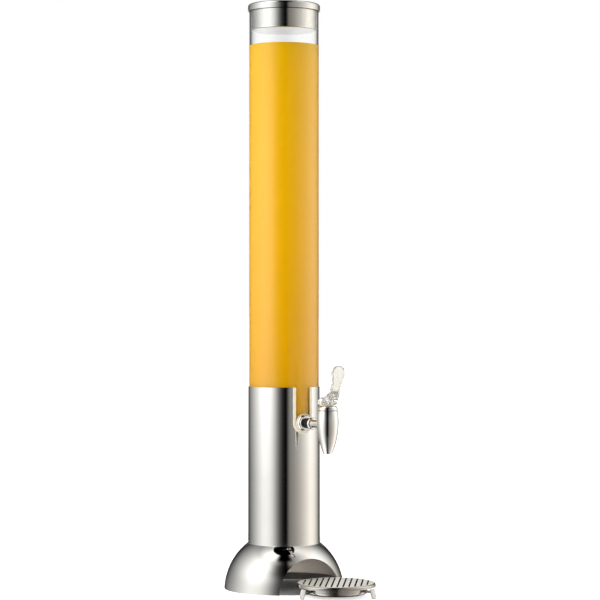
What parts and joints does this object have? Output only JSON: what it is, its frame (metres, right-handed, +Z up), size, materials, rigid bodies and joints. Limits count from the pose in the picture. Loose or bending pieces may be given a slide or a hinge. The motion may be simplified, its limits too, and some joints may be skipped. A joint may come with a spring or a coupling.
{
  "type": "juice dispenser",
  "caption": "Table-top juice dispenser: clear tube filled with juice in a slotted polished steel column on a domed foot, with a lever tap and a slotted drip tray.",
  "frame": {"origin": "on the floor, at the column's axis, in the plane of the dome foot's lower edge", "axes": "+Z up along the column's axis, -Y towards the tap and the drip tray, +X to the tap's right-hand side as seen from the front"},
  "size_m": [0.1708, 0.2583, 0.835],
  "materials": {
    "polished_steel": "mirror polished stainless steel",
    "chrome": "chrome plated",
    "clear_acrylic": "clear, polished",
    "lever_acrylic": "clear, polished",
    "juice": "opaque orange liquid",
    "cream_silicone": "soft satin",
    "white_silicone": "soft satin",
    "black_rubber": "satin",
    "plain_steel": "plain turned steel",
    "foot_rubber": "translucent soft sleeve"
  },
  "bodies": {
    "stand": {"dome_foot": "polished_steel", "column_tube": "polished_steel", "slot_trim": "cream_silicone", "container_shelf": "polished_steel", "shelf_pad": "white_silicone"},
    "container": {"juice_tube": "clear_acrylic", "tube_base": "clear_acrylic", "juice": "juice", "outer_gasket": "cream_silicone", "inner_gasket": "white_silicone", "shank_nut": "plain_steel", "shank_washer": "chrome", "outer_locknut": "chrome", "shank_sleeve": "black_rubber", "tap_body": "chrome", "tap_bonnet": "chrome", "stem_seal": "black_rubber", "bonnet_seal": "black_rubber", "valve_spring": "plain_steel"},
    "valve": {"valve_stem": "plain_steel", "valve_plug": "white_silicone", "lever_pin": "plain_steel"},
    "lever": {"tap_lever": "lever_acrylic"},
    "lid": {"lid_cap": "polished_steel", "lid_plug": "polished_steel", "lid_seal": "white_silicone"},
    "tray": {"tray_dish": "polished_steel", "tray_studs": "plain_steel", "tray_feet": "foot_rubber"},
    "grille": {"tray_grille": "polished_steel"}
  },
  "joints": [
    {"name": "container_lift", "type": "slide", "parent": "stand", "child": "container", "axis": [0, 0, 1], "range_m": [0, 0.09]},
    {"name": "lid_lift", "type": "slide", "parent": "container", "child": "lid", "axis": [0, 0, 1], "range_m": [0, 0.06]},
    {"name": "stem_lift", "type": "slide", "parent": "container", "child": "valve", "axis": [0, 0, 1], "range_m": [0, 0.00428], "stiffness_N_per_m": 600, "springref_m": -0.01, "deforming": ["valve_spring"]},
    {"name": "lever_tilt", "type": "hinge", "parent": "valve", "child": "lever", "pos_m": [0, -0.11505, 0.27084], "axis": [1, 0, 0], "range_deg": [0, 35]},
    {"name": "tray_slide", "type": "slide", "parent": "stand", "child": "tray", "axis": [0, -1, 0], "range_m": [0, 0.12]},
    {"name": "grille_lift", "type": "slide", "parent": "tray", "child": "grille", "axis": [0, 0, 1], "range_m": [0, 0.008]}
  ],
  "couplings": [
    {"joint": "lever_tilt", "follows": "stem_lift", "rad_per_m": 142.86}
  ]
}
